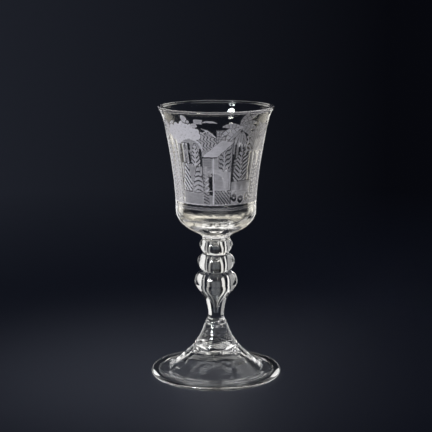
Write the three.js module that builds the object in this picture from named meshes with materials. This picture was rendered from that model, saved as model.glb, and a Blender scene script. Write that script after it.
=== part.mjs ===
// Wheel-engraved drinking glass with a hollow knopped baluster stem and a folded conical foot.
// Millimetres, +Z up. The origin is on the axis, in the plane the foot rests on.
// Every piece is turned about the Z axis, as the glass was at the maker's bench.
import * as THREE from 'three';

// Foot: a hollow cone that flattens into a brim
const footRadius = 41.1;
const footHeight = 20.7;
const brimInnerRadius = 29.8;
const brimSlope = 0.9;
const brimThickness = 1.3;
const foldLine = 0.12;
const coneWall = 2.1;
const coneHollow = 0.6;
const shoulderRadius = 12.7;
const shoulderBead = 0.5;
const shoulderSpread = 1.4;
const shoulderBandHeight = 3.2;
const apexThickness = 5.2;
const apexMargin = 1.6;

// Folded rim: the brim's edge turned back under itself
const foldWidth = 5.7;
const foldThickness = 1.3;
const restingWidth = 2.9;

// Pontil mark: the scar where the iron was broken off, under the foot's apex
const pontilRadius = 6.4;
const pontilDepth = 1.3;
const pontilRoughness = 0.35;

// Solid cone that carries the stem, and the wafer of glass above it
const stemConeHeight = 11.5;
const stemConeStep = 0.4;
const stemConeTopRadius = 6.9;
const neckWaferRadius = 6.35;
const neckWaferHeight = 2.4;

// Baluster: solid at its neck, hollow in its belly
const neckRadius = 5.1;
const neckFlare = 0.45;
const neckRise = 2.1;
const balusterHeight = 31.3;
const balusterBellyRadius = 13.6;
const balusterBellyDrop = 7.0;

// The two knops
const middleKnopHeight = 11.3;
const middleKnopRadius = 11.75;
const upperKnopHeight = 9.2;
const upperKnopRadius = 10.5;
const lowerGrooveRadius = 7.0;
const upperGrooveRadius = 6.8;

// Hollow: one long tear of air that runs through the knops and ends as a point in the baluster
const knopHollowRadius = 4.8;
const grooveHollowRadius = 4.1;
const bellyHollowRadius = 6.2;
const hollowTipHeight = 5.1;

// Wafer between the upper knop and the bowl
const bowlWaferRadius = 8.45;
const bowlWaferHeight = 1.2;

// Bowl: a solid base, a round-bottomed bucket and a flared lip
const bowlHeight = 82.4;
const bowlSeatRadius = 8.55;
const bowlWaistRadius = 25.1;
const bowlWaistHeight = 18.4;
const lipRadius = 36.0;
const lipThickness = 1.9;
const bowlWall = 1.7;
const bowlBaseThickness = 8.2;

// Facets round the axis
const wideFacets = 48;
const stemFacets = 36;
const pontilFacets = 24;

// The stack, from the table up
const brimUnderside = foldThickness;
const stemConeBase = footHeight;
const neckWaferBase = stemConeBase + stemConeHeight;
const balusterBase = neckWaferBase + neckWaferHeight;
const middleKnopBase = balusterBase + balusterHeight;
const upperKnopBase = middleKnopBase + middleKnopHeight;
const bowlWaferBase = upperKnopBase + upperKnopHeight;
const bowlBase = bowlWaferBase + bowlWaferHeight;
const bowlRim = bowlBase + bowlHeight;

const clearGlass = { color: 0xe9ece8, roughness: 0.03, metalness: 0 };
const engravedGlass = { color: 0xdfe1e4, roughness: 0.12, metalness: 0 };
const brokenGlass = { color: 0xd9dcd8, roughness: 0.45, metalness: 0 };

const point = (radius, height) => new THREE.Vector2(radius, height);

// A smooth stretch of outline between two points, pulled towards two others
function curve(start, pullStart, pullEnd, end, steps) {
  return new THREE.CubicBezierCurve(start, pullStart, pullEnd, end).getPoints(steps);
}

// A round stretch of outline; angles in quarter turns, 0 outwards and 1 upwards
function arc(centre, radius, startQuarter, endQuarter, steps) {
  const start = startQuarter * Math.PI / 2;
  const end = endQuarter * Math.PI / 2;
  const round = new THREE.EllipseCurve(centre.x, centre.y, radius, radius, start, end, end < start);
  return round.getPoints(steps);
}

// One quarter of a knop, from the groove it swells out of to its widest ring
function swell(groove, belly, pullOut, pullUp, steps) {
  const pullGroove = point(groove.x + pullOut * (belly.x - groove.x), groove.y);
  const pullBelly = point(belly.x, belly.y - pullUp * (belly.y - groove.y));
  return curve(groove, pullGroove, pullBelly, belly, steps);
}

// The same stretch, from the widest ring to the groove
function sink(belly, groove, pullOut, pullUp, steps) {
  return swell(groove, belly, pullOut, pullUp, steps).reverse();
}

// Joins stretches of outline and leaves out points that repeat
function outline(...stretches) {
  const points = stretches.flat();
  return points.filter((p, i) => i === 0 || p.distanceTo(points[i - 1]) > 1e-4);
}

// Turns an outline about the Z axis; it runs up the outside and back down the inside
function turned(name, points, finish, facets) {
  const geometry = new THREE.LatheGeometry(points, facets);
  geometry.rotateX(Math.PI / 2);
  const mesh = new THREE.Mesh(geometry, new THREE.MeshStandardMaterial(finish));
  mesh.name = name;
  return mesh;
}

// The cone's outside, from the brim up to the band under the stem, and the way into its wall
function coneSlope() {
  const low = point(brimInnerRadius, brimUnderside + brimThickness + brimSlope);
  const bandRadius = shoulderRadius + shoulderBead + shoulderSpread;
  const band = point(bandRadius, footHeight - shoulderBandHeight);
  const climb = band.clone().sub(low);
  const inwards = point(-climb.y, climb.x).normalize();
  return { low, band, climb, inwards };
}

// The hollow underside of the foot, from its flat apex out to the edge
function footUnderside() {
  const { low, climb, inwards } = coneSlope();
  const apex = point(pontilRadius + apexMargin, footHeight - apexThickness);
  const pullApex = point(apex.x + 0.4 * shoulderRadius, apex.y);
  const innerLow = low.clone().addScaledVector(inwards, coneWall);
  const pullLow = innerLow.clone().addScaledVector(climb, 0.45);
  return outline(
    [point(0, apex.y)],
    curve(apex, pullApex, pullLow, innerLow, 8),
    [point(footRadius - foldWidth - foldThickness, brimUnderside)],
    [point(footRadius, brimUnderside)],
  );
}

// The top of the foot, from the rounded edge up to the shoulder under the stem
function footTop() {
  const { low, band, climb } = coneSlope();
  const pullLow = low.clone().addScaledVector(climb, 0.3);
  const pullBand = low.clone().addScaledVector(climb, 0.64);
  pullLow.y -= 0.5 * coneHollow;
  pullBand.y -= coneHollow;
  const beadRadius = shoulderRadius + shoulderBead;
  const beadLow = point(beadRadius, footHeight - 0.55 * shoulderBandHeight);
  const beadHigh = point(beadRadius, footHeight - 0.2 * shoulderBandHeight);
  return outline(
    arc(point(footRadius - brimThickness, brimUnderside), brimThickness, 0, 1, 5),
    [point(footRadius - foldWidth, brimUnderside + brimThickness + foldLine)],
    curve(low, pullLow, pullBand, band, 8),
    curve(band, beadLow, beadHigh, point(shoulderRadius, footHeight), 4),
    [point(0, footHeight)],
  );
}

function foot() {
  return turned('foot', outline(footUnderside(), footTop()), clearGlass, wideFacets);
}

// The fold lies flat against the brim, and its ground ring is what the glass stands on
function foldedRim() {
  const bend = point(footRadius - foldThickness, foldThickness);
  const freeEdge = 0.45 * foldThickness;
  const freeEdgeCentre = point(footRadius - foldWidth + freeEdge, foldThickness - freeEdge);
  const points = outline(
    arc(bend, foldThickness, -1, 0, 5),
    arc(freeEdgeCentre, freeEdge, 1, 3, 6),
    [point(bend.x - restingWidth, 0)],
    [point(bend.x, 0)],
  );
  return turned('folded_rim', points, clearGlass, wideFacets);
}

// A low lump with a broken, uneven face
function pontilMark() {
  const top = footHeight - apexThickness;
  const bottom = top - pontilDepth;
  const points = outline(
    [point(0, bottom + 0.35 * pontilDepth)],
    [point(0.35 * pontilRadius, bottom + 0.2 * pontilDepth)],
    [point(0.68 * pontilRadius, bottom)],
    [point(0.9 * pontilRadius, bottom + 0.3 * pontilDepth)],
    [point(pontilRadius, top)],
    [point(0, top)],
  );
  const mark = turned('pontil_mark', points, brokenGlass, pontilFacets);
  roughen(mark.geometry.attributes.position, top);
  return mark;
}

// Uneven breaks round the scar: two waves that don't line up, fading towards the middle
function roughen(position, top) {
  for (let i = 0; i < position.count; i += 1) {
    const x = position.getX(i);
    const y = position.getY(i);
    const z = position.getZ(i);
    const turn = Math.atan2(y, x);
    const reach = Math.hypot(x, y) / pontilRadius;
    const wave = 0.6 * Math.sin(3 * turn) + 0.4 * Math.sin(7 * turn + 0.8);
    const free = (top - z) / pontilDepth;
    position.setZ(i, z + pontilRoughness * wave * reach * free);
  }
}

// The solid cone narrows from the foot's shoulder to the wafer, steeper as it climbs
function stemCone() {
  const base = point(shoulderRadius - stemConeStep, stemConeBase);
  const top = point(stemConeTopRadius, neckWaferBase);
  const run = base.x - top.x;
  const rise = top.y - base.y;
  const pullBase = point(base.x - 0.5 * run, base.y + 0.3 * rise);
  const pullTop = point(top.x + 0.25 * run, top.y - 0.3 * rise);
  const points = outline(
    [point(0, base.y)],
    curve(base, pullBase, pullTop, top, 7),
    [point(0, top.y)],
  );
  return turned('stem_cone', points, clearGlass, stemFacets);
}

// A thin pad of hot glass that joins two pieces, with a rounded edge
function wafer(name, base, height, lowerRadius, upperRadius) {
  const bulge = 0.25 * height;
  const pullLower = point(lowerRadius + bulge, base + 0.3 * height);
  const pullUpper = point(upperRadius + bulge, base + 0.75 * height);
  const points = outline(
    [point(0, base)],
    curve(point(lowerRadius, base), pullLower, pullUpper, point(upperRadius, base + height), 5),
    [point(0, base + height)],
  );
  return turned(name, points, clearGlass, stemFacets);
}

// The outside of the baluster, from its seat on the wafer to the groove under the middle knop
function balusterOutside(belly) {
  const seat = point(neckRadius + neckFlare, balusterBase);
  const neck = point(neckRadius, balusterBase + neckRise);
  const rise = belly.y - neck.y;
  const pullSeat = point(neckRadius + 0.2 * neckFlare, balusterBase + 0.4 * neckRise);
  const pullNeck = point(neckRadius, neck.y - 0.3 * neckRise);
  return outline(
    curve(seat, pullSeat, pullNeck, neck, 2),
    curve(neck, point(neck.x, neck.y + 0.64 * rise), point(belly.x, belly.y - 0.17 * rise), belly, 11),
    sink(belly, point(lowerGrooveRadius, middleKnopBase), 0.53, 0.74, 6),
  );
}

// The hollow inside it, from the top down to the point where the air ends
function balusterHollow(belly) {
  const mouth = point(grooveHollowRadius, middleKnopBase);
  const widest = point(bellyHollowRadius, belly.y);
  const tip = point(0, balusterBase + hollowTipHeight);
  const rise = widest.y - tip.y;
  const pullWidest = point(widest.x, widest.y - 0.48 * rise);
  const pullTip = point(0.35 * widest.x, tip.y + 0.45 * rise);
  return outline(
    swell(mouth, widest, 0.7, 0.75, 4),
    curve(widest, pullWidest, pullTip, tip, 8),
  );
}

function baluster() {
  const belly = point(balusterBellyRadius, middleKnopBase - balusterBellyDrop);
  const points = outline([point(0, balusterBase)], balusterOutside(belly), balusterHollow(belly));
  return turned('baluster', points, clearGlass, stemFacets);
}

// A knop is a ring squeezed between two grooves, with the stem's hollow through its middle
function knop(name, lower, upper, radius, pulls) {
  const height = upper.y - lower.y;
  const belly = point(radius, lower.y + pulls.bellyAt * height);
  const hollowLower = point(grooveHollowRadius, lower.y);
  const hollowUpper = point(grooveHollowRadius, upper.y);
  const hollowBelly = point(knopHollowRadius, belly.y);
  const points = outline(
    swell(lower, belly, pulls.lowerOut, pulls.lowerUp, 5),
    sink(belly, upper, pulls.upperOut, pulls.upperUp, 5),
    swell(hollowUpper, hollowBelly, 0.6, 0.5, 3),
    sink(hollowBelly, hollowLower, 0.6, 0.5, 3),
    [lower.clone()],
  );
  return turned(name, points, clearGlass, stemFacets);
}

function middleKnop() {
  const lower = point(lowerGrooveRadius, middleKnopBase);
  const upper = point(upperGrooveRadius, upperKnopBase);
  const pulls = { bellyAt: 0.58, lowerOut: 0.32, lowerUp: 0.53, upperOut: 0.4, upperUp: 0.59 };
  return knop('middle_knop', lower, upper, middleKnopRadius, pulls);
}

function upperKnop() {
  const lower = point(upperGrooveRadius, upperKnopBase);
  const upper = point(bowlWaferRadius, bowlWaferBase);
  const pulls = { bellyAt: 0.63, lowerOut: 0.22, lowerUp: 0.33, upperOut: 0.1, upperUp: 0.45 };
  return knop('upper_knop', lower, upper, upperKnopRadius, pulls);
}

// The side of the bowl between its waist and its lip; both faces of the wall follow it
function bowlFlare(waist, lip, steps) {
  const rise = lip.y - waist.y;
  const pullWaist = point(waist.x, waist.y + 0.27 * rise);
  const pullLip = point(lip.x - 0.47 * (lip.x - waist.x), lip.y - 0.1 * rise);
  return curve(waist, pullWaist, pullLip, lip, steps);
}

// The bowl's outside, from its seat on the wafer to the lip
function bowlOutside(lipHeight) {
  const seat = point(bowlSeatRadius, bowlBase);
  const waist = point(bowlWaistRadius, bowlBase + bowlWaistHeight);
  const pullSeat = point(seat.x, seat.y + 0.22 * bowlWaistHeight);
  const pullWaist = point(waist.x, seat.y + 0.31 * bowlWaistHeight);
  return outline(
    curve(seat, pullSeat, pullWaist, waist, 9),
    bowlFlare(waist, point(lipRadius, lipHeight), 9),
  );
}

// The bowl's inside, from the lip down to the middle of its round bottom
function bowlInside(lipHeight) {
  const waist = point(bowlWaistRadius - bowlWall, bowlBase + bowlWaistHeight);
  const bottom = point(0, bowlBase + bowlBaseThickness);
  const pullWaist = point(waist.x, bottom.y + 0.25 * (waist.y - bottom.y));
  const pullBottom = point(0.55 * waist.x, bottom.y);
  return outline(
    bowlFlare(waist, point(lipRadius - lipThickness, lipHeight), 9).reverse(),
    curve(waist, pullWaist, pullBottom, bottom, 9),
  );
}

function bowl() {
  const lip = lipThickness / 2;
  const lipHeight = bowlRim - lip;
  const points = outline(
    [point(0, bowlBase)],
    bowlOutside(lipHeight),
    arc(point(lipRadius - lip, lipHeight), lip, 0, 2, 6),
    bowlInside(lipHeight),
  );
  return turned('bowl', points, engravedGlass, wideFacets);
}

const neckSeatRadius = neckRadius + neckFlare;
const glass = new THREE.Group();
glass.name = 'drinking_glass';
glass.add(
  foldedRim(),
  foot(),
  pontilMark(),
  stemCone(),
  wafer('neck_wafer', neckWaferBase, neckWaferHeight, neckWaferRadius, neckSeatRadius),
  baluster(),
  middleKnop(),
  upperKnop(),
  wafer('bowl_wafer', bowlWaferBase, bowlWaferHeight, bowlWaferRadius, bowlSeatRadius),
  bowl(),
);

export default glass;
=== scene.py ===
"""A wheel-engraved drinking glass on a hollow knopped stem.

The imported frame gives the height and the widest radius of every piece. The classes below blow each piece
smooth, cut the picture into the bowl, and light the glass with panels and umbrellas.
Outlines are written in millimetres and turned about the Z axis; the finished meshes are in metres.
"""
from __future__ import annotations

import logging
import math
from dataclasses import dataclass, field
from enum import Enum
from typing import Any, Callable, Sequence

import bmesh
import bpy
import numpy as np
from mathutils import Matrix, Quaternion, Vector
from mathutils.geometry import interpolate_bezier


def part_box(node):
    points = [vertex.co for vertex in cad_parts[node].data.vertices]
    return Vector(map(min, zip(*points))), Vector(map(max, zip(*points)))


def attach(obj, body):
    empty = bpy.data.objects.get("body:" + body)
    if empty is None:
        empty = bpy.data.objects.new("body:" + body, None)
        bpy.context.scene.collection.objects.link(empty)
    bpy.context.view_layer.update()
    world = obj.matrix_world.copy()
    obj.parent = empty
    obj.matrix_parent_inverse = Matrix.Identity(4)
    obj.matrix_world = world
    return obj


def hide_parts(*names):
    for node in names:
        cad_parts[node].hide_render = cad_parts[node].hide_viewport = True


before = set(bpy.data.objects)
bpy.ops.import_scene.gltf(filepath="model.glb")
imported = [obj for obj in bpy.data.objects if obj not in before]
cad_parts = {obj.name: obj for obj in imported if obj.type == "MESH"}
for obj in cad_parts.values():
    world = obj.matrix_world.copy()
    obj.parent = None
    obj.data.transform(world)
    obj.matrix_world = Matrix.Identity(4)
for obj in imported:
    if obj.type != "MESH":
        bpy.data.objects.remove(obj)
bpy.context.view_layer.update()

MM = 0.001
SECTOR_STEPS = 27
SAME_PLACE = 1e-4
SHARP_EDGE = math.radians(50)
GLASS_INDEX = 1.5
CUT_LAYERS = ("cut_edge", "cut_tone", "cut_gap", "cut_phase")
log = logging.getLogger("drinking_glass")

Array = np.ndarray
Outline = list[Vector]
Pair = tuple[float, float]
Triple = tuple[float, float, float]
Path = Sequence[Pair]
Waves = Sequence[tuple[float, float, float, float]]
Tree = bpy.types.NodeTree
Socket = bpy.types.NodeSocket
Finishes = list[bpy.types.Material]


class Slot(Enum):
    """The record's material slots."""

    ENGRAVED = "engraved_glass"
    CLEAR = "clear_glass"
    BROKEN = "broken_glass"


# Outlines


def spot(radius: float, height: float) -> Vector:
    """A point of an outline: its distance from the axis and its height, in millimetres."""
    return Vector((radius, 0.0, height))


def curve(start: Vector, pull_start: Vector, pull_end: Vector, end: Vector, steps: int) -> Outline:
    """A smooth stretch of outline between two points, pulled towards two others."""
    return interpolate_bezier(start, pull_start, pull_end, end, steps + 1)


def arc(centre: Vector, radius: float, start: float, end: float, steps: int) -> Outline:
    """A round stretch of outline; angles in quarter turns, 0 outwards and 1 upwards."""
    angles = [math.pi / 2 * (start + (end - start) * i / steps) for i in range(steps + 1)]
    return [centre + radius * spot(math.cos(a), math.sin(a)) for a in angles]


def line(start: Vector, end: Vector, steps: int) -> Outline:
    """A straight stretch of outline in equal steps."""
    return [start.lerp(end, i / steps) for i in range(steps + 1)]


def swell(groove: Vector, belly: Vector, pull_out: float, pull_up: float, steps: int) -> Outline:
    """One quarter of a knop, from the groove it swells out of to its widest ring."""
    pull_groove = spot(groove.x + pull_out * (belly.x - groove.x), groove.z)
    pull_belly = spot(belly.x, belly.z - pull_up * (belly.z - groove.z))
    return curve(groove, pull_groove, pull_belly, belly, steps)


def sink(belly: Vector, groove: Vector, pull_out: float, pull_up: float, steps: int) -> Outline:
    """The same stretch, from the widest ring to the groove."""
    return swell(groove, belly, pull_out, pull_up, steps)[::-1]


def joined(*stretches: Sequence[Vector]) -> Outline:
    """One outline from several stretches, without the points that repeat."""
    points: Outline = []
    for point in (p for stretch in stretches for p in stretch):
        if not points or (point - points[-1]).length > SAME_PLACE:
            points.append(point)
    return points


# Places on a mesh


def places_of(mesh: bpy.types.Mesh) -> Array:
    """The mesh's vertices, a row of x, y and z for each."""
    places = np.empty(len(mesh.vertices) * 3)
    mesh.vertices.foreach_get("co", places)
    return places.reshape(-1, 3)


def round_axis(places: Array) -> tuple[Array, Array, Array]:
    """The places' distances from the axis, their turns about it and their heights."""
    x, y, z = places.T
    return np.hypot(x, y), np.arctan2(y, x), z


def pushed(places: Array, out: Any, up: Any) -> Array:
    """The places, moved outwards by a share of their radius and up by a height."""
    x, y, z = places.T
    return np.column_stack((x * (1 + out), y * (1 + out), z + up))


def ramp(depth: Array, width: float) -> Array:
    """A rise from 0 to 1 over a width."""
    return np.clip(depth / width, 0, 1)


def rippled(along: Array, turn: Array, waves: Waves) -> Array:
    """The sum of some waves, each with its pitch, its turns round the axis, its phase and its size."""
    total = np.zeros_like(turn)
    for pitch, turns, phase, size in waves:
        total += size * np.sin(math.tau * along / pitch + turns * turn + phase)
    return total


# Turned pieces


@dataclass(frozen=True)
class Span:
    """Where a node of the frame lies: its lowest and highest point and its widest radius, in millimetres."""

    base: float
    top: float
    radius: float

    @classmethod
    def of(cls, node: str) -> "Span":
        """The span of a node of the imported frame."""
        low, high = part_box(node)
        return cls(low.z / MM, high.z / MM, high.x / MM)

    @property
    def height(self) -> float:
        """The node's own height."""
        return self.top - self.base

    def at(self, share: float) -> float:
        """The height at a share of the way up the node."""
        return self.base + share * self.height


def span_of(node: str) -> Any:
    """A field that holds the span of a node."""
    return field(default_factory=lambda: Span.of(node))


@dataclass(frozen=True)
class Joint:
    """A flat ring where two pieces are fused, so that no surface shows there."""

    height: float
    inner: float
    outer: float
    slack: float = 0.001

    def covers(self, face: bmesh.types.BMFace) -> bool:
        """True if a face lies in the ring."""
        for vert in face.verts:
            radius = math.hypot(vert.co.x, vert.co.y)
            if abs(vert.co.z - self.height) > self.slack:
                return False
            if not self.inner - self.slack <= radius <= self.outer + self.slack:
                return False
        return True


@dataclass
class TurnedPiece:
    """A piece of glass turned about the Z axis.

    Attributes:
        node: The node of the frame that it stands for.
        group: The part of the glass that it belongs to.
        outline: Its outline, up the outside and back down the inside.
        joints: The flat rings where it is fused to its neighbours.
        doublings: How often the turned sector is doubled; each sector has 27 steps.
        shape: Moves the vertices, in millimetres, before the mesh is made.
    """

    node: str
    group: str
    outline: Outline
    joints: Sequence[Joint] = ()
    doublings: int = 3
    shape: Callable[[Array], Array] | None = None

    def turned(self) -> bmesh.types.BMesh:
        """Turns the outline through one sector, and doubles the sector until it closes."""
        bm = bmesh.new()
        verts = [bm.verts.new(p) for p in self.outline]
        follow = verts[1:] + verts[:1] if self.outline[0].x > 0 else verts[1:]
        edges = [bm.edges.new(pair) for pair in zip(verts, follow)]
        sector = math.tau / 2**self.doublings
        middle, axis = (0, 0, 0), (0, 0, 1)
        bmesh.ops.spin(bm, geom=verts + edges, cent=middle, axis=axis, angle=sector, steps=SECTOR_STEPS)
        for doubling in range(self.doublings):
            copy = bmesh.ops.duplicate(bm, geom=bm.verts[:] + bm.edges[:] + bm.faces[:])["geom"]
            moved = [part for part in copy if isinstance(part, bmesh.types.BMVert)]
            turn = Matrix.Rotation(sector * 2**doubling, 3, "Z")
            bmesh.ops.rotate(bm, verts=moved, cent=middle, matrix=turn)
        bmesh.ops.remove_doubles(bm, verts=bm.verts, dist=SAME_PLACE)
        bmesh.ops.recalc_face_normals(bm, faces=bm.faces)
        return bm

    def build(self, finishes: Finishes, slot: Slot) -> bpy.types.Object:
        """Turns the outline, closes the mesh and hangs it on the frame.

        Args:
            finishes: The glass and, second, the finish of the fused rings.
            slot: The record's slot of the piece; not used.

        Returns:
            The finished object.
        """
        bm = self.turned()
        for face in bm.faces:
            face.smooth = True
            face.material_index = int(any(joint.covers(face) for joint in self.joints))
        for edge in bm.edges:
            sides = {face.material_index for face in edge.link_faces}
            edge.smooth = len(sides) == 1 and edge.calc_face_angle(0) < SHARP_EDGE
        mesh = bpy.data.meshes.new(self.node)
        bm.to_mesh(mesh)
        bm.free()
        if self.shape:
            mesh.vertices.foreach_set("co", self.shape(places_of(mesh)).ravel())
        mesh.transform(Matrix.Scale(MM, 4))
        for finish in finishes:
            mesh.materials.append(finish)
        piece = bpy.data.objects.new(f"glass_{self.node}", mesh)
        bpy.data.collections[self.group].objects.link(piece)
        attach(piece, "root")
        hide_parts(self.node)
        log.info("%s: %d faces", piece.name, len(mesh.polygons))
        return piece


# Finishes


class Value:
    """A socket that Python arithmetic works on; each operation adds one Math node."""

    def __init__(self, tree: Tree, socket: Socket) -> None:
        self.tree = tree
        self.socket = socket

    def _math(self, operation: str, *parts: Any) -> "Value":
        node = self.tree.nodes.new("ShaderNodeMath")
        node.operation = operation
        for socket, part in zip(node.inputs, parts):
            feed(self.tree, socket, part)
        return Value(self.tree, node.outputs[0])

    def __add__(self, other: Any) -> "Value":
        return self._math("ADD", self, other)

    def __sub__(self, other: Any) -> "Value":
        return self._math("SUBTRACT", self, other)

    def __rsub__(self, other: Any) -> "Value":
        return self._math("SUBTRACT", other, self)

    def __mul__(self, other: Any) -> "Value":
        return self._math("MULTIPLY", self, other)

    def size(self) -> "Value":
        """The value without its sign."""
        return self._math("ABSOLUTE", self)

    def turn(self) -> "Value":
        """What is left of the value after its whole turns."""
        return self._math("FRACT", self)

    def held(self) -> "Value":
        """The value held between 0 and 1."""
        return self._math("MAXIMUM", self._math("MINIMUM", self, 1.0), 0.0)


def feed(tree: Tree, socket: Socket, value: Any) -> None:
    """Gives a socket a plain value, or links a Value or another node's output to it."""
    source = value.socket if isinstance(value, Value) else value
    if isinstance(source, Socket):
        tree.links.new(source, socket)
    else:
        socket.default_value = source


@dataclass(frozen=True)
class Finish:
    """A finish: a name and the node tree that draws it."""

    name: str

    def make(self) -> bpy.types.Material:
        """Makes the material and has the finish draw its nodes."""
        material = bpy.data.materials.new(self.name)
        material.use_nodes = True
        tree = material.node_tree
        tree.nodes.clear()
        self.node(tree, "ShaderNodeOutputMaterial", Surface=self.surface(tree))
        return material

    def surface(self, tree: Tree) -> Socket:
        """Draws the finish and returns its shader."""
        raise NotImplementedError

    @staticmethod
    def node(tree: Tree, kind: str, settings: dict[str, Any] | None = None, **sockets: Any) -> bpy.types.Node:
        """Adds a node, sets its options first, and then fills its sockets.

        Args:
            tree: The node tree.
            kind: The node's type.
            settings: Its options.
            sockets: What each socket is fed with; spaces in its name are written as underscores.

        Returns:
            The node.
        """
        made = tree.nodes.new(kind)
        for key, value in (settings or {}).items():
            setattr(made, key, value)
        for key, value in sockets.items():
            feed(tree, made.inputs[key.replace("_", " ")], value)
        return made

    @classmethod
    def mix(cls, tree: Tree, share: Any, first: Socket, second: Socket) -> Socket:
        """Two shaders, mixed."""
        made = cls.node(tree, "ShaderNodeMixShader")
        for socket, value in zip(made.inputs, (share, first, second)):
            feed(tree, socket, value)
        return made.outputs[0]

    @classmethod
    def blend(cls, tree: Tree, share: Any, first: Triple, second: Triple) -> Socket:
        """Two colours, mixed."""
        made = cls.node(tree, "ShaderNodeMix", {"data_type": "RGBA"}, Factor=share)
        for socket, colour in zip(made.inputs[6:8], (first, second)):
            socket.default_value = (*colour, 1.0)
        return made.outputs[2]

    @classmethod
    def passing(cls, tree: Tree, share: float = 1.0) -> Socket:
        """A shader that lets a share of the light pass."""
        return cls.node(tree, "ShaderNodeBsdfTransparent", Color=(share, share, share, 1.0)).outputs[0]


@dataclass(frozen=True)
class FusedJoint(Finish):
    """Glass runs on through a joint, so nothing is drawn there."""

    def surface(self, tree: Tree) -> Socket:
        """A shader that lets everything pass."""
        return self.passing(tree)


@dataclass(frozen=True)
class ClearGlass(Finish):
    """Fire-polished soda glass, with the faint cords and straw tint of a hand-made melt.

    Attributes:
        tint: The colour of the clearest glass.
        straw: The colour of its deepest streaks.
        streak_size: How many streaks there are to a metre.
        cord_size: How many cords there are to a metre.
        cord_depth: How deep the cords are, in metres.
        lamp_share: The share of a lamp's light that passes one surface into the shadow.
    """

    tint: Triple = (0.985, 0.983, 0.972)
    straw: Triple = (0.965, 0.958, 0.925)
    streak_size: float = 90.0
    cord_size: float = 260.0
    cord_depth: float = 0.00004
    lamp_share: float = 0.985

    def place(self, tree: Tree, across: float, up: float) -> Socket:
        """Object coordinates, stretched for a pattern that runs round the glass."""
        place = self.node(tree, "ShaderNodeTexCoord").outputs["Object"]
        return self.node(tree, "ShaderNodeMapping", Vector=place, Scale=(across, across, up)).outputs[0]

    def noise(self, tree: Tree, place: Socket, size: float, detail: float = 2.0) -> Socket:
        """A soft, uneven pattern."""
        return self.node(tree, "ShaderNodeTexNoise", Vector=place, Scale=size, Detail=detail).outputs["Fac"]

    def bump(self, tree: Tree, height: Socket, depth: float) -> Socket:
        """The slopes of a pattern."""
        return self.node(tree, "ShaderNodeBump", Height=height, Distance=depth).outputs[0]

    def melt(
        self, tree: Tree, colour: Any, normal: Socket, roughness: Any = 0.0, clarity: float = 1.0
    ) -> Socket:
        """A glass shader."""
        return self.node(
            tree, "ShaderNodeBsdfPrincipled", Base_Color=colour, Normal=normal, Roughness=roughness,
            IOR=GLASS_INDEX, Transmission_Weight=clarity,
        ).outputs[0]

    def tinted(self, tree: Tree) -> Socket:
        """The glass's colour, streaked with straw."""
        streaks = self.noise(tree, self.place(tree, 1.0, 2.4), self.streak_size, 3.0)
        return self.blend(tree, streaks, self.tint, self.straw)

    def glass(self, tree: Tree) -> Socket:
        """The glass itself, with the faint waves that the tools have left round it."""
        cords = self.noise(tree, self.place(tree, 0.5, 1.6), self.cord_size)
        return self.melt(tree, self.tinted(tree), self.bump(tree, cords, self.cord_depth))

    def surface(self, tree: Tree) -> Socket:
        """The glass, with a stand-in that lets the lamps through."""
        in_shadow = self.node(tree, "ShaderNodeLightPath").outputs["Is Shadow Ray"]
        return self.mix(tree, in_shadow, self.glass(tree), self.passing(tree, self.lamp_share))


@dataclass(frozen=True)
class BrokenGlass(ClearGlass):
    """The rough face where the iron was knocked off: splintered, with sharp ridges."""

    splinter_size: float = 700.0
    splinter_depth: float = 0.0004
    patch_size: float = 400.0
    patch_gain: float = 0.9
    patch_start: float = 0.2

    def glass(self, tree: Tree) -> Socket:
        """Clear glass with shell-shaped ridges, dull in patches."""
        where = self.place(tree, 1.0, 0.6)
        ridges = self.node(tree, "ShaderNodeTexVoronoi", Vector=where, Scale=self.splinter_size)
        bump = self.bump(tree, ridges.outputs["Distance"], self.splinter_depth)
        patches = Value(tree, self.noise(tree, where, self.patch_size))
        return self.melt(tree, self.tinted(tree), bump, (patches * self.patch_gain - self.patch_start).held())


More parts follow.
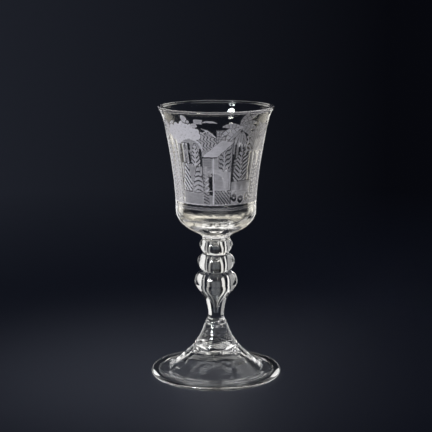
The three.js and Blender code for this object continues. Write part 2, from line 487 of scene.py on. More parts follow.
@dataclass(frozen=True)
class EngravedGlass(ClearGlass):
    """Clear glass with a matt picture that the wheel has cut into it.

    Attributes:
        matt_colour: The colour of the cut.
        matt_clarity: The share of light that passes the cut.
        border_tone: How much brighter the cut is along its border.
        border_at: How far inside a region that brighter line lies, in millimetres.
        border_sharpness: How fast that line fades on both sides.
        edge_sharpness: How fast a region sets in at its edge.
        stroke_sharpness: How fast a stroke sets in at its sides.
        matt_roughness: How rough the cut is.
        unevenness: How much the grain and the wheel's marks take away or add.
        grain_size: How many grains there are to a metre.
        wheel_size: How many of the wheel's marks there are to a metre.
        grain_depth: How deep the grain is, in metres.
    """

    cord_depth: float = 0.00001
    matt_colour: Triple = (0.86, 0.85, 0.95)
    matt_clarity: float = 0.35
    border_tone: float = 0.22
    border_at: float = 0.25
    border_sharpness: float = 5.0
    edge_sharpness: float = 7.0
    stroke_sharpness: float = 5.0
    matt_roughness: float = 0.6
    unevenness: float = 0.5
    grain_size: float = 2600.0
    wheel_size: float = 900.0
    grain_depth: float = 0.00003

    def cut(self, tree: Tree) -> Value:
        """How matt each point is, from the numbers that the bowl keeps on its vertices."""
        edge, tone, gap, phase = (
            Value(tree, self.node(tree, "ShaderNodeAttribute", {"attribute_name": name}).outputs["Fac"])
            for name in CUT_LAYERS
        )
        inside = (edge * self.edge_sharpness + 0.5).held()
        border = (1.0 - (edge - self.border_at).size() * self.border_sharpness).held() * self.border_tone
        wave = (phase.turn() - 0.5).size() * 2.0
        stroke = ((wave - gap) * self.stroke_sharpness + 1.0).held()
        marks = self.noise(tree, self.place(tree, 0.35, 1.0), self.wheel_size, 1.0)
        least = 1 - self.unevenness / 2
        grain, wheel = (Value(tree, part) * self.unevenness + least for part in (self.grain(tree), marks))
        return ((tone + border) * inside * stroke * grain * wheel).held()

    def grain(self, tree: Tree) -> Socket:
        """The matt's fine grain."""
        return self.noise(tree, self.place(tree, 1.0, 1.0), self.grain_size)

    def glass(self, tree: Tree) -> Socket:
        """Clear glass where nothing is cut, and matt where the wheel has been."""
        bump = self.bump(tree, self.grain(tree), self.grain_depth)
        matt = self.melt(tree, (*self.matt_colour, 1.0), bump, self.matt_roughness, self.matt_clarity)
        return self.mix(tree, self.cut(tree), super().glass(tree), matt)


@dataclass(frozen=True)
class FloorPaint(Finish):
    """A plain, pale, matt paint that runs out into the dark of the room."""

    colour: Triple = (0.48, 0.52, 0.66)
    roughness: float = 0.6
    fade_from: float = 0.2
    fade_width: float = 0.5

    def surface(self, tree: Tree) -> Socket:
        """One even colour, fading out far from the glass."""
        place = self.node(tree, "ShaderNodeTexCoord").outputs["Object"]
        radius = self.node(tree, "ShaderNodeVectorMath", {"operation": "LENGTH"}, Vector=place).outputs[1]
        fade = ((Value(tree, radius) - self.fade_from) * (1 / self.fade_width)).held()
        colour = (*self.colour, 1.0)
        paint = self.node(tree, "ShaderNodeBsdfPrincipled", Base_Color=colour, Roughness=self.roughness)
        return self.mix(tree, fade, paint.outputs[0], self.passing(tree))


# The foot


@dataclass
class FootAssembly:
    """The hollow conical foot, its folded rim and the pontil mark."""

    brim_inner: float = 29.8
    brim_slope: float = 0.9
    brim_thickness: float = 1.3
    fold_line: float = 0.12
    fold_width: float = 5.7
    resting_width: float = 2.9
    cone_wall: float = 2.1
    cone_hollow: float = 0.6
    shoulder: float = 12.7
    shoulder_bead: float = 0.5
    shoulder_spread: float = 1.4
    band_height: float = 3.2
    apex_margin: float = 1.6
    cone_step: float = 0.4
    tool_depth: float = 0.085
    tool_pitch: float = 3.0
    brim_pitch: float = 1.1
    brim_fade: float = 0.45
    brim_skin: float = 1.2
    plain_edge: float = 3.0
    tool_start: float = 1.5
    lumps: Waves = ((math.inf, 2, 0.6, 0.14), (math.inf, 7, 0.0, 0.08), (math.inf, 19, 0.0, 0.05))
    foot: Span = span_of("foot")
    rim: Span = span_of("folded_rim")
    pontil: Span = span_of("pontil_mark")

    def __post_init__(self) -> None:
        """Works out the slope of the cone and the places that the pieces share."""
        self.cone_foot = self.shoulder - self.cone_step
        self.brim_top = self.foot.base + self.brim_thickness
        self.low = spot(self.brim_inner, self.brim_top + self.brim_slope)
        band_radius = self.shoulder + self.shoulder_bead + self.shoulder_spread
        self.band = spot(band_radius, self.foot.top - self.band_height)
        self.climb = self.band - self.low
        self.inwards = spot(-self.climb.z, self.climb.x).normalized()
        self.apex = spot(self.pontil.radius + self.apex_margin, self.pontil.top)
        self.fold_edge = 0.45 * self.rim.height
        self.fold_outer = self.foot.radius - self.fold_width
        self.fold_inner = self.fold_outer + self.fold_edge

    def underside(self) -> Outline:
        """The hollow underside, from the middle of the apex out to the edge."""
        inner_low = self.low + self.inwards * self.cone_wall
        pull_apex = self.apex + spot(0.4 * self.shoulder, 0.0)
        brim = spot(self.fold_outer - self.rim.height, self.foot.base)
        return joined(
            line(spot(0.0, self.apex.z), spot(self.pontil.radius, self.apex.z), 4),
            [self.apex],
            curve(self.apex, pull_apex, inner_low + 0.45 * self.climb, inner_low, 40),
            line(inner_low, brim, 6),
            line(brim, spot(self.fold_inner, self.foot.base), 3),
            [spot(self.foot.radius, self.foot.base)],
        )

    def upper_side(self) -> Outline:
        """The top, from the rounded edge up to the shoulder under the stem."""
        pull_low = self.low + 0.3 * self.climb - spot(0.0, 0.5 * self.cone_hollow)
        pull_band = self.low + 0.64 * self.climb - spot(0.0, self.cone_hollow)
        heights = (self.foot.top - share * self.band_height for share in (0.55, 0.2))
        bead_low, bead_high = (spot(self.shoulder + self.shoulder_bead, height) for height in heights)
        edge = spot(self.foot.radius - self.brim_thickness, self.foot.base)
        fold = spot(self.fold_outer, self.brim_top + self.fold_line)
        return joined(
            arc(edge, self.brim_thickness, 0, 1, 10),
            line(spot(edge.x, self.brim_top), fold, 6),
            line(fold, self.low, 16),
            curve(self.low, pull_low, pull_band, self.band, 96),
            curve(self.band, bead_low, bead_high, spot(self.shoulder, self.foot.top), 16),
            [spot(self.cone_foot, self.foot.top), spot(0.0, self.foot.top)],
        )

    def tooled(self, places: Array) -> Array:
        """Leaves the marks of the jacks and boards on the top of the foot, and an uneven shoulder band.

        Args:
            places: The foot's vertices, in millimetres.

        Returns:
            The same vertices, moved up or down.
        """
        radius, turn, z = round_axis(places)
        brim = radius > self.low.x
        slope = (self.band.z - self.low.z) / (self.low.x - self.band.x)
        middle = self.low.z + slope * (self.low.x - radius) - 0.5 * self.cone_wall
        top = z > np.where(brim, self.low.z - self.brim_skin, middle)
        pitch = np.where(brim, self.brim_pitch, 1.0) * self.tool_pitch
        out = math.tau * (radius - self.low.x) / pitch
        swing = np.sin(out + 0.5 * np.sin(3 * turn)) + 0.5 * np.sin(out / 1.7 + turn * ~brim)
        outer = self.foot.radius - self.plain_edge
        reach = ramp(radius - self.band.x, self.tool_start) * ramp(outer - radius, self.tool_start)
        fade = np.where(brim, self.brim_fade, 0.75 + 0.4 * np.sin(5 * turn + radius / 4))
        lump = ramp(1 - np.abs(radius - self.band.x), 1.0) * ramp(self.foot.top - z, 1.0)
        uneven = rippled(radius, turn, self.lumps)
        return pushed(places, 0.0, top * (self.tool_depth * swing * reach * fade + lump * uneven))

    def folded_rim(self) -> Outline:
        """The fold, from under its bend round the outside and back along the table."""
        bend = spot(self.rim.radius - self.rim.height, self.rim.height)
        free = spot(self.fold_inner, self.rim.height - self.fold_edge)
        return joined(
            arc(bend, self.rim.height, -1, 0, 10),
            arc(free, self.fold_edge, 1, 3, 12),
            [spot(bend.x - self.resting_width, 0.0)],
        )

    def pontil_mark(self) -> Outline:
        """A low lump with a broken face."""
        rows = ((0.0, 0.35), (0.35, 0.2), (0.68, 0.0), (0.9, 0.3), (1.0, 1.0), (0.0, 1.0))
        return [spot(out * self.pontil.radius, self.pontil.at(up)) for out, up in rows]

    def build(self, clear: Finishes, broken: Finishes) -> None:
        """Builds the three pieces."""
        under_stem = Joint(self.foot.top, 0.0, self.cone_foot)
        on_fold = Joint(self.foot.base, self.fold_inner, self.foot.radius)
        on_pontil = Joint(self.apex.z, 0.0, self.pontil.radius)
        foot = joined(self.underside(), self.upper_side())
        joints = (under_stem, on_fold, on_pontil)
        TurnedPiece("foot", "base", foot, joints, shape=self.tooled).build(clear, Slot.CLEAR)
        TurnedPiece("folded_rim", "base", self.folded_rim(), (on_fold,)).build(clear, Slot.CLEAR)
        TurnedPiece("pontil_mark", "base", self.pontil_mark(), (on_pontil,)).build(broken, Slot.BROKEN)


# The stem


@dataclass(frozen=True)
class Pulls:
    """How full a knop is: where its widest ring lies, and how far each quarter is pulled out and up."""

    belly_at: float
    lower: Pair
    upper: Pair


@dataclass
class Stem:
    """The solid cone, two wafers, the baluster and the two knops."""

    cone_foot: float
    cone_top: float = 6.9
    neck_wafer_radius: float = 6.35
    neck: float = 5.1
    neck_flare: float = 0.45
    neck_rise: float = 2.1
    belly_drop: float = 7.0
    lower_groove: float = 7.0
    upper_groove: float = 6.8
    knop_hollow: float = 4.8
    groove_hollow: float = 4.1
    belly_hollow: float = 6.2
    hollow_tip: float = 3.0
    bowl_wafer_radius: float = 8.45
    bowl_seat: float = 8.55
    middle_pulls: Pulls = Pulls(0.58, (0.32, 0.53), (0.4, 0.59))
    upper_pulls: Pulls = Pulls(0.63, (0.22, 0.33), (0.1, 0.45))
    ripples: Waves = ((2.7, 3, 0.0, 0.045), (4.1, -7, 1.0, 0.036))
    cone: Span = span_of("stem_cone")
    neck_wafer: Span = span_of("neck_wafer")
    baluster: Span = span_of("baluster")
    middle: Span = span_of("middle_knop")
    upper: Span = span_of("upper_knop")
    bowl_wafer: Span = span_of("bowl_wafer")

    def stem_cone(self) -> Outline:
        """The solid cone, narrowing from the foot's shoulder to the wafer."""
        base = spot(self.cone_foot, self.cone.base)
        top = spot(self.cone_top, self.cone.top)
        run, rise = base.x - top.x, top.z - base.z
        pull_base = base + spot(-0.5 * run, 0.3 * rise)
        pull_top = top + spot(0.25 * run, -0.3 * rise)
        return joined(
            [spot(0.0, base.z)],
            curve(base, pull_base, pull_top, top, 40),
            [spot(self.neck_wafer_radius, top.z), spot(0.0, top.z)],
        )

    def tooled(self, places: Array) -> Array:
        """Leaves the ripples of the tools on the cone.

        Args:
            places: The cone's vertices, in millimetres.

        Returns:
            The same vertices, moved in or out.
        """
        radius, turn, z = round_axis(places)
        ends = ramp(z - self.cone.base, 1.5) * ramp(self.cone.top - z, 1.5)
        waves = rippled(z, turn, self.ripples)
        return pushed(places, ends * (radius > 1.0) * waves / np.maximum(radius, 1.0), 0.0)

    def wafer(self, span: Span, lower: float, upper: float, hollow: float) -> Outline:
        """A thin pad of hot glass with a rounded edge, over a hollow if there is one."""
        bulge = 0.25 * span.height
        pull_lower = spot(lower + bulge, span.at(0.3))
        pull_upper = spot(upper + bulge, span.at(0.75))
        return joined(
            [spot(0.0, span.base), spot(hollow, span.base)],
            curve(spot(lower, span.base), pull_lower, pull_upper, spot(upper, span.top), 14),
            [spot(0.0, span.top)],
        )

    def belly_and_neck(self) -> Outline:
        """The baluster's belly and neck, and the hollow inside them."""
        base, top = self.baluster.base, self.baluster.top
        belly = spot(self.baluster.radius, top - self.belly_drop)
        seat = spot(self.neck + self.neck_flare, base)
        neck = spot(self.neck, base + self.neck_rise)
        rise = belly.z - neck.z
        pull_seat = spot(self.neck + 0.2 * self.neck_flare, base + 0.4 * self.neck_rise)
        pull_neck = neck - spot(0.0, 0.3 * self.neck_rise)
        widest = spot(self.belly_hollow, belly.z)
        tip = spot(0.0, base + self.hollow_tip)
        drop = widest.z - tip.z
        pull_tip = spot(0.19 * widest.x, tip.z + 0.6 * drop)
        return joined(
            [spot(0.0, base)],
            curve(seat, pull_seat, pull_neck, neck, 10),
            curve(neck, neck + spot(0.0, 0.64 * rise), belly - spot(0.0, 0.17 * rise), belly, 48),
            sink(belly, spot(self.lower_groove, top), 0.53, 0.74, 28),
            swell(spot(self.groove_hollow, top), widest, 0.7, 0.75, 20),
            curve(widest, widest - spot(0.0, 0.3 * drop), pull_tip, tip, 40),
        )

    def knop(self, span: Span, lower: float, upper: float, pulls: Pulls) -> Outline:
        """A ring squeezed between two grooves, with the hollow through its middle."""
        belly = spot(span.radius, span.at(pulls.belly_at))
        hollow_belly = spot(self.knop_hollow, belly.z)
        return joined(
            swell(spot(lower, span.base), belly, *pulls.lower, 24),
            sink(belly, spot(upper, span.top), *pulls.upper, 24),
            swell(spot(self.groove_hollow, span.top), hollow_belly, 0.6, 0.5, 12),
            sink(hollow_belly, spot(self.groove_hollow, span.base), 0.6, 0.5, 12),
        )

    def build(self, clear: Finishes) -> None:
        """Builds the six pieces from the foot up."""
        seat, wafer, hollow = self.neck + self.neck_flare, self.bowl_wafer_radius, self.groove_hollow
        on_foot = Joint(self.cone.base, 0.0, self.cone_foot)
        on_cone = Joint(self.cone.top, 0.0, self.neck_wafer_radius)
        on_neck_wafer = Joint(self.baluster.base, 0.0, seat)
        in_lower_groove = Joint(self.middle.base, hollow, self.lower_groove)
        in_upper_groove = Joint(self.upper.base, hollow, self.upper_groove)
        under_wafer = Joint(self.bowl_wafer.base, hollow, wafer)
        on_wafer = Joint(self.bowl_wafer.top, 0.0, self.bowl_seat)
        middle = self.knop(self.middle, self.lower_groove, self.upper_groove, self.middle_pulls)
        upper = self.knop(self.upper, self.upper_groove, wafer, self.upper_pulls)
        neck_wafer = self.wafer(self.neck_wafer, self.neck_wafer_radius, seat, seat)
        bowl_wafer = self.wafer(self.bowl_wafer, wafer, self.bowl_seat, hollow)
        for node, group, outline, joints in (
            ("stem_cone", "cone", self.stem_cone(), (on_foot, on_cone)),
            ("neck_wafer", "cone", neck_wafer, (on_cone, on_neck_wafer)),
            ("baluster", "middle", self.belly_and_neck(), (on_neck_wafer, in_lower_groove)),
            ("middle_knop", "middle", middle, (in_lower_groove, in_upper_groove)),
            ("upper_knop", "middle", upper, (in_upper_groove, under_wafer)),
            ("bowl_wafer", "top", bowl_wafer, (under_wafer, on_wafer)),
        ):
            shape = self.tooled if node == "stem_cone" else None
            TurnedPiece(node, group, outline, joints, shape=shape).build(clear, Slot.CLEAR)


# The picture


def disc(x: Array, z: Array, radius: float, squash: float = 1.0) -> Array:
    """How far inside a disc each point lies, in millimetres; negative is outside."""
    return radius - np.hypot(x, z / squash)


def box(x: Array, z: Array, left: float, right: float, low: float, high: float) -> Array:
    """How far inside an upright rectangle each point lies."""
    return np.minimum(np.minimum(x - left, right - x), np.minimum(z - low, high - z))


def polygon(x: Array, z: Array, corners: Path) -> Array:
    """How far inside a convex polygon each point lies; its corners run against the clock."""
    depth = np.full_like(x, math.inf)
    for (ax, az), (bx, bz) in zip(corners, [*corners[1:], corners[0]]):
        length = math.hypot(bx - ax, bz - az)
        depth = np.minimum(depth, ((bx - ax) * (z - az) - (bz - az) * (x - ax)) / length)
    return depth


def blade(x: Array, z: Array, path: Path, width: float, tip: float) -> tuple[Array, Array]:
    """A stroke along a bent path, widest near its middle.

    Args:
        x: Places along the wall.
        z: Heights.
        path: The points that the stroke follows.
        width: Its half width at the widest.
        tip: The share of that width left at its ends.

    Returns:
        How far inside the stroke each point lies, and how far along it, from 0 to 1.
    """
    depth = np.full_like(x, -math.inf)
    share = np.zeros_like(x)
    for i, ((ax, az), (bx, bz)) in enumerate(zip(path, path[1:])):
        dx, dz = bx - ax, bz - az
        t = np.clip(((x - ax) * dx + (z - az) * dz) / (dx * dx + dz * dz), 0, 1)
        along = (i + t) / (len(path) - 1)
        off = np.hypot(x - ax - t * dx, z - az - t * dz)
        here = width * (tip + (1 - tip) * np.sin(math.pi * along)) - off
        share = np.where(here > depth, along, share)
        depth = np.maximum(depth, here)
    return depth, share


def bent(height: float, turn: float, length: float, droop: float, steps: int = 5) -> Path:
    """The path of a leaf that leaves the stem at a height and an angle, and droops."""
    droop = math.copysign(droop, math.cos(turn))
    angles = [turn - droop * (i / steps) for i in range(steps)]
    step = length / steps
    along = np.cumsum([0.0, *(step * math.cos(angle) for angle in angles)])
    up = np.cumsum([height, *(step * math.sin(angle) for angle in angles)])
    return list(zip(along, up))


@dataclass
class Canvas:
    """What the wheel has cut, for each vertex of the picture's zone.

    Attributes:
        along: Millimetres round the wall from the middle of the front, at the picture's mean radius.
        up: Heights in millimetres.
        girth: The wall's whole girth at that radius.
        reach: The most that a distance to a border is kept.
        moat: The width of the clear line that is left round each motif.
        stray: How far a line strays from its true course.
    """

    along: Array
    up: Array
    girth: float
    reach: float = 1.5
    moat: float = 0.4
    stray: float = 0.08

    def __post_init__(self) -> None:
        """Starts with an uncut wall, and gives every line the slight unevenness of a hand."""
        turn = math.tau * self.along / self.girth
        uneven = np.sin(17 * turn + self.up / 2.1) + np.sin(29 * turn - self.up / 3.4)
        self.along = self.along + self.stray * uneven
        self.up = self.up + self.stray * np.sin(41 * turn + self.up / 2.9)
        self.edge = np.full_like(self.up, -self.reach)
        self.tone, self.gap, self.phase = (np.zeros_like(self.up) for _ in range(3))

    def at(self, centre: float) -> Array:
        """Places along the wall, measured from a centre the short way round."""
        return (self.along - centre + self.girth / 2) % self.girth - self.girth / 2

    def cut(
        self, inside: Array, tone: float, gap: float = 0.0, phase: Any = 0.0, moat: float | None = None
    ) -> None:
        """Cuts a region.

        Args:
            inside: How far inside the region each vertex lies.
            tone: How dense the cut is, from 0 to 1.
            gap: The share of each stroke's pitch that is left clear.
            phase: The strokes' phase in turns.
            moat: The width of the clear line round the region, if it isn't the usual one.
        """
        moat = self.moat if moat is None else moat
        self.edge = np.maximum(np.minimum(self.edge, np.maximum(-inside - moat, -self.reach)), inside)
        self.edge = np.minimum(self.edge, self.reach)
        takes = (inside > 0) | ((inside > -0.5) & (inside >= self.edge))
        for layer, value in ((self.tone, tone), (self.gap, gap), (self.phase, phase)):
            layer[takes] = np.broadcast_to(value, inside.shape)[takes]

    def spare(self, inside: Array) -> None:
        """Leaves a region clear."""
        self.edge = np.minimum(self.edge, np.maximum(-inside, -self.reach))

    def leaf(
        self, centre: float, path: Path, width: float, tone: float, tip: float = 0.25, moat: float = 0.3,
        gap: float = 0.0, ribs: float = 0.0,
    ) -> None:
        """A cut along a path measured from a centre, with a number of ribs set apart by gaps."""
        inside, share = blade(self.at(centre), self.up, path, width, tip)
        self.cut(inside, tone, gap, ribs * share, moat)

    def stroke(self, centre: float, path: Path, width: float, tone: float = 1.0) -> None:
        """One bright stroke of the wheel along a path, measured from a centre."""
        self.leaf(centre, path, width, tone, 0.6, 0.0)


@dataclass
class Landscape(Canvas):
    """A landscape of houses, arcades, trees, birds and a fence, all round the bowl."""

    ground: float = 112.1

    def frame(self, left: float, right: float, low: float, high: float) -> tuple[Array, Array]:
        """How far inside an upright rectangle each point lies, and its place along from the middle."""
        x = self.at((left + right) / 2)
        half = (right - left) / 2
        return box(x, self.up, -half, half, low, high), x

    def tree(
        self, centre: float, base: float, height: float, half: float, pitch: float, rise: float,
        bow: float = 0.0, slant: float = 0.0, gap: float = 0.5, tone: float = 1.0, stem: float = 0.3,
    ) -> None:
        """A tree of even strokes, narrowing to the top.

        Args:
            centre: The place of its stem.
            base: The height of its foot.
            height: Its own height.
            half: Its half width.
            pitch: The distance between its strokes.
            rise: How steeply the strokes leave the stem on both sides.
            bow: How much they bend.
            slant: How steeply they run across the stem instead.
            gap: The share of the pitch that is left clear.
            tone: How dense the strokes are.
            stem: Half the width of its stem.
        """
        x, z = self.at(centre), self.up - base
        phase = (z - rise * np.abs(x) - bow * x * x - slant * x) / pitch
        ragged = 0.8 + 0.5 * np.abs(phase % 1 - 0.5)
        taper = half * ragged * np.clip(1.3 * (1 - z / height), 0.05, 1) ** 0.6
        self.cut(box(np.abs(x), z, -math.inf, taper, 0.0, height), tone, gap, phase)
        if stem and not slant:
            self.stroke(centre, [(0.0, base), (0.0, base + 0.92 * height)], stem, tone)

    def panel(
        self, left: float, right: float, low: float, high: float, tone: float, gap: float = 0.0,
        pitch: float = 1.0, slant: float = 0.0, moat: float | None = None,
    ) -> None:
        """A matt rectangle, plain or of even strokes; with no slant they stand upright."""
        inside, x = self.frame(left, right, low, high)
        self.cut(inside, tone, gap, (x + slant * self.up) / pitch, moat)

    def slit(self, left: float, right: float, low: float, high: float, teeth: float = 0.0) -> None:
        """A clear slit, with teeth along its sides if they have a size."""
        half = (right - left) / 2 + teeth * (np.abs(self.up / 2.1 % 1 - 0.5) * 4 - 1)
        self.spare(box(self.at((left + right) / 2), self.up, -half, half, low, high))

    def leaves(self, region: Array, pitch: float, lean: float, tone: float) -> None:
        """Small leaves all over a region, leaning left and right by turns.

        Args:
            region: How far inside the region each vertex lies.
            pitch: The distance between leaves.
            lean: How far they lean, in radians.
            tone: How dense they are; 0 for clear leaves.
        """
        row = np.floor(self.up / pitch)
        side = 1 - 2 * (row % 2)
        x = ((self.along / pitch + 0.25 * side + 0.37 * row) % 1 - 0.5) * pitch
        z = (self.up / pitch % 1 - 0.5) * pitch
        across = x * math.cos(lean) + side * z * math.sin(lean)
        length = z * math.cos(lean) - side * x * math.sin(lean)
        leaf = np.minimum(disc(across, length, 0.24 * pitch, 2.3), region)
        if tone:
            self.cut(leaf, tone, moat=0.0)
        else:
            self.spare(leaf)

    def canopy(self, centre: float, middle: float, half: float, squash: float, lobes: int) -> Array:
        """A plain leafy crown with a scalloped edge; returns how far inside it each point lies."""
        x, z = self.at(centre), self.up - middle
        inside = disc(x, z, 0.9 * half, squash)
        for i in range(lobes):
            angle = math.tau * (i + 0.5) / lobes
            lobe_x, lobe_z = 0.85 * half * math.cos(angle), 0.85 * half * squash * math.sin(angle)
            inside = np.maximum(inside, disc(x - lobe_x, z - lobe_z, (0.16 + 0.05 * (i % 3)) * half))
        self.cut(inside, 1.0, 0.06, (x + 0.5 * z) / 0.9)
        return inside

    def palm(self, centre: float, middle: float, length: float, turns: Sequence[int], tone: float) -> None:
        """A crown of long leaves that leave a point at angles in degrees, and droop at their tips."""
        for i, turn in enumerate(turns):
            odd = i % 2
            path = bent(middle, math.radians(turn), length * (1 - 0.13 * odd), 0.8)
            self.leaf(centre, path, 0.13 * length, tone - 0.15 * odd, gap=0.2, ribs=5)
        self.cut(disc(self.at(centre), self.up - middle, 0.1 * length), tone, moat=0.0)

    def bud(self, centre: float, middle: float, size: float) -> None:
        """A flower bud on a short stalk."""
        x, z = self.at(centre), self.up - middle
        self.stroke(centre, [(0.0, middle - 2.4 * size), (0.0, middle)], 0.3, 0.8)
        self.cut(disc(x + 0.2 * z, z, 0.7 * size, 1.4), 0.75)
        self.cut(disc(x - 0.8 * size, z + 0.7 * size, 0.4 * size), 0.7)

    def bird(self, centre: float, middle: float, size: float) -> None:
        """A bird with its wings spread."""
        x, z = self.at(centre), self.up - middle
        for turn, length in ((2.75, 0.8), (0.2, 1.4)):
            wing = bent(middle, turn, length * size, 0.5)
            self.leaf(centre, wing, 0.17 * size, 0.75, 0.3, gap=0.25, ribs=6)
        self.cut(disc(x + 0.1 * size, z + 0.1 * size, 0.34 * size, 0.7), 0.9, moat=0.3)

    def arch(self, left: float, right: float, base: float, top: float) -> None:
        """A clear arch with a bright moulding round its head."""
        half, centre = (right - left) / 2, (left + right) / 2
        x, z = self.at(centre), self.up
        spring, outer = top - half, half + 0.1
        self.spare(np.maximum(box(x, z, -half, half, base, spring), disc(x, z - spring, half)))
        turns = [math.pi * i / 10 for i in range(11)]
        head = [(outer * math.cos(turn), spring + outer * math.sin(turn)) for turn in turns]
        self.stroke(centre, head, 0.4)

    def columns(self, places: Sequence[float], half: float, low: float, high: float, tone: float) -> None:
        """Upright bars, each with a clear flute down its middle."""
        for place in places:
            self.panel(place - half, place + half, low, high, tone)
            self.slit(place - 0.22, place + 0.22, low + 1.0, high - 1.0)

    def house(self, corner: float, eaves: float) -> None:
        """A house seen from its corner: a leaning roof, a long wall, a gable and a plain door."""
        x, z, ground = self.at(corner), self.up, self.ground
        self.cut(box(x, z, -6.4, -0.2, eaves - 9.4, eaves), 0.39, 0.12, z / 1.5, 0.2)
        self.cut(box(x, z, -6.4, -2.9, ground, eaves - 9.6), 0.42, 0.4, (z + 0.5 * x) / 1.9, 0.2)
        gable = [(0.5, ground), (10.8, ground), (10.8, eaves + 9.0), (0.5, eaves - 0.4)]
        self.cut(polygon(x, z, gable), 0.55)
        ferns = [(3.0, eaves - 8.2), (10.2, eaves - 8.2), (10.2, eaves + 7.6), (3.0, eaves + 0.6)]
        rows = (z - 0.9 * np.abs(x - 6.4) + 0.5 * np.sin(2.2 * x)) / 2.7
        self.cut(polygon(x, z, ferns), 0.52, 0.42, rows, 0.15)
        self.stroke(corner, [(6.4, eaves - 7.6), (6.4, eaves + 3.6)], 0.3, 0.7)
        self.cut(box(x, z, 0.7, 10.4, eaves - 20.2, eaves - 8.5), 0.6, moat=0.15)
        self.stroke(corner, [(9.3, eaves - 20.0), (9.3, eaves - 8.8)], 0.24, 0.75)
        self.cut(box(x, z, 0.7, 10.4, ground, eaves - 20.7), 0.42, 0.45, (x + 0.8 * z) / 1.9, 0.3)
        self.spare(box(x, z, -6.4, 2.2, eaves - 0.4, eaves + 0.4))
        self.cut(box(x, z, -0.45, 0.45, ground, eaves - 0.3), 0.85, moat=0.25)
        roof = [(-6.4, eaves + 0.4), (1.9, eaves + 0.4), (11.6, eaves + 9.4), (4.6, eaves + 10.4)]
        self.cut(polygon(x, z, roof), 0.92, moat=0.2)

    def fence(self, left: float, right: float, top: float, pitch: float, tone: float) -> None:
        """A fence of round openings, each with a bright ring and a small disc in it."""
        self.cut(self.frame(left, right, self.ground, top)[0], tone)
        middle = (self.ground + top) / 2
        for i in range(int((right - left) / pitch)):
            x = self.at(left + (i + 0.5) * pitch)
            z = self.up - middle - 0.12 * pitch * (-1) ** i
            opening = disc(x, z, 0.42 * pitch, 1.15)
            self.cut(opening + 0.45, 1.5 * tone, moat=0.0)
            self.spare(opening)
            self.cut(disc(x, z, 0.14 * pitch), 1.3 * tone, moat=0.0)

    def ground_lines(self) -> None:
        """The line that the picture stands on, and a faint band under it, all round."""
        z = self.up - self.ground
        self.spare(0.4 - np.abs(z))
        self.cut(0.3 - np.abs(z - 0.5), 0.85, moat=0.0)
        self.cut(1.0 - np.abs(z + 2.2), 0.22, 0.3, (self.at(0.0) + 3.0 * z) / 4.7, moat=0.0)

    def front_left(self) -> None:
        """A dense crown over an arcade with trees in it."""
        middle, z = self.at(0.0), self.up
        self.panel(-24.5, -1.6, 118.0, 157.0, 0.44, 0.1, 1.4, 0.8)
        under, x = self.frame(-14.0, 0.6, 146.5, 158.6)
        scribble = (x + 0.7 * np.sin(z / 0.62) + 0.4 * z) / 1.9
        self.cut(np.minimum(under, 157.6 - z - 0.55 * (x + 1.0)), 0.66, 0.4, scribble)
        self.palm(-29.0, 157.0, 8.5, (70, 100, 128, 154, 182, 208), 0.8)
        crown = self.canopy(-18.8, 156.4, 10.4, 0.58, 11)
        self.leaves(crown - 1.0, 2.7, 0.9, 0.8)
        self.bud(-16.6, 165.2, 2.4)
        self.cut(self.frame(-11.2, -6.8, 162.4, 165.2)[0], 0.6, moat=0.3)
        self.leaf(0.0, [(-6.8, 163.4), (-4.4, 164.0), (-1.8, 163.8), (0.6, 163.1)], 0.6, 0.7, 0.3)
        self.leaf(0.0, [(-12.6, 162.0), (-10.0, 161.0)], 1.4, 0.7, 0.3)
        self.arch(-22.6, -8.0, 120.6, 153.4)
        self.cut(self.frame(-22.2, -8.4, 120.6, 146.0)[0], 0.42, moat=0.0)
        self.cut(disc(self.at(-15.3), z - 146.1, 6.9), 0.42, moat=0.0)
        self.columns((-19.4, -17.6), 0.8, 137.6, 150.2, 0.7)
        for sides in (
            (-21.9, -20.5, 138.0, 149.6), (-16.5, -15.2, 137.6, 150.6), (-18.75, -18.3, 138.0, 150.0),
            (-9.6, -8.6, 136.4, 147.2), (-23.3, -22.9, 124.0, 143.0),
        ):
            self.slit(*sides, 0.1)
        self.tree(-12.2, 136.8, 13.6, 2.8, 2.7, 1.2, gap=0.45, tone=0.66)
        self.tree(-18.9, 120.9, 17.0, 3.3, 3.2, 0.0, slant=-1.35, gap=0.55, tone=1.0)
        self.tree(-11.2, 120.6, 15.6, 3.3, 2.8, -0.1, bow=-0.16, gap=0.42, tone=0.66, stem=0.0)
        branch = [(-7.4, 159.6), (-4.6, 158.4), (-2.4, 156.6), (-0.4, 154.4), (1.8, 152.2)]
        self.stroke(0.0, branch, 0.36, 0.85)
        self.stroke(0.0, [(-7.4, 156.6), (-5.2, 158.2), (-4.4, 156.2)], 0.3, 0.75)
        self.stroke(0.0, [(-9.6, 150.6), (-8.2, 148.0), (-7.6, 144.6)], 0.34, 0.8)
        slope = polygon(middle, z, [(-23.0, self.ground), (-1.9, self.ground), (-1.9, 118.4), (-23.0, 120.6)])
        self.cut(slope, 0.43, 0.04, z / 1.1, 0.3)

